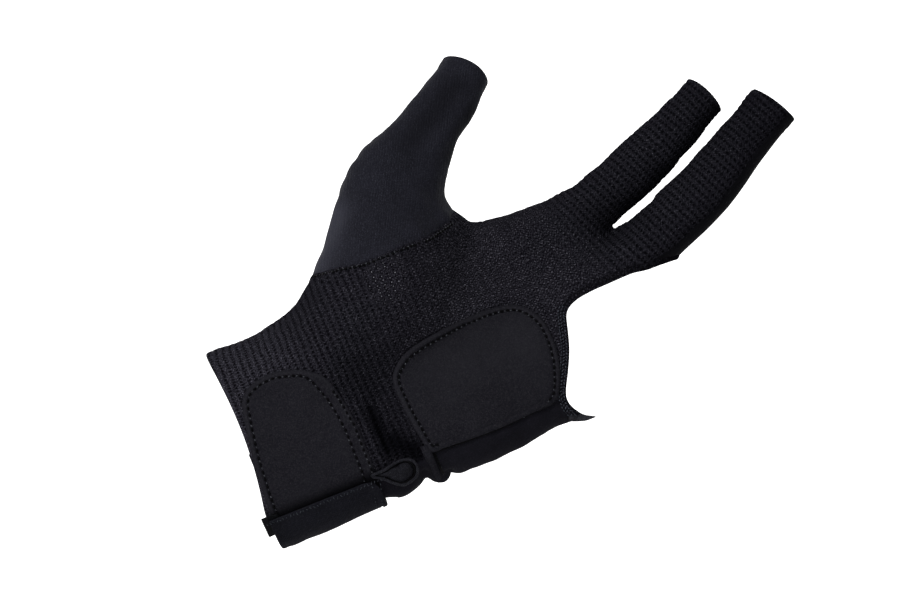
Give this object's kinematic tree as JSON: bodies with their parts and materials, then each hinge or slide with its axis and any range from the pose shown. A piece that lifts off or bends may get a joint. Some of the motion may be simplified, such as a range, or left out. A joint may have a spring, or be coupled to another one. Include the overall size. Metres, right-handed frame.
{
  "type": "billiard glove",
  "caption": "Left-hand billiard glove with open thumb, index and middle sleeves, mesh palm, stitched suede patches and a wrist strap, kept in its worn form.",
  "frame": {"origin": "centre of the wrist opening, where a wrist or a display hand holds the glove", "axes": "+X from the wrist opening towards the fingertips, +Y from the palm to the back of the hand, +Z to the thumb side. Palm and mesh face -Y. The cuff leaves the origin 22.5 degrees above +X, and the index and middle sleeves point about 47 degrees above it."},
  "size_m": [0.1901, 0.0577, 0.158],
  "materials": {
    "mesh_knit": "matt eyelet mesh knit",
    "smooth_knit": "matt smooth stretch knit",
    "fine_knit": "fine stretch knit with a soft sheen",
    "suede_patch": "matt microfibre suede",
    "strap_fabric": "matt laminated fabric",
    "hook_tape": "rough hook tape",
    "bound_edge": "folded edge of fine fabric",
    "serged_edge": "overlocked thread edge",
    "hem_fold": "folded hem"
  },
  "bodies": {
    "root": {"palm_panel": "mesh_knit", "back_panel": "smooth_knit", "thumb_sleeve": "fine_knit", "palm_pad": "suede_patch", "wrist_pad": "suede_patch", "closure_strap": "strap_fabric", "hook_tape": "hook_tape", "pull_loop": "bound_edge", "opening_binding": "serged_edge", "wrist_hem": "hem_fold"}
  },
  "joints": []
}
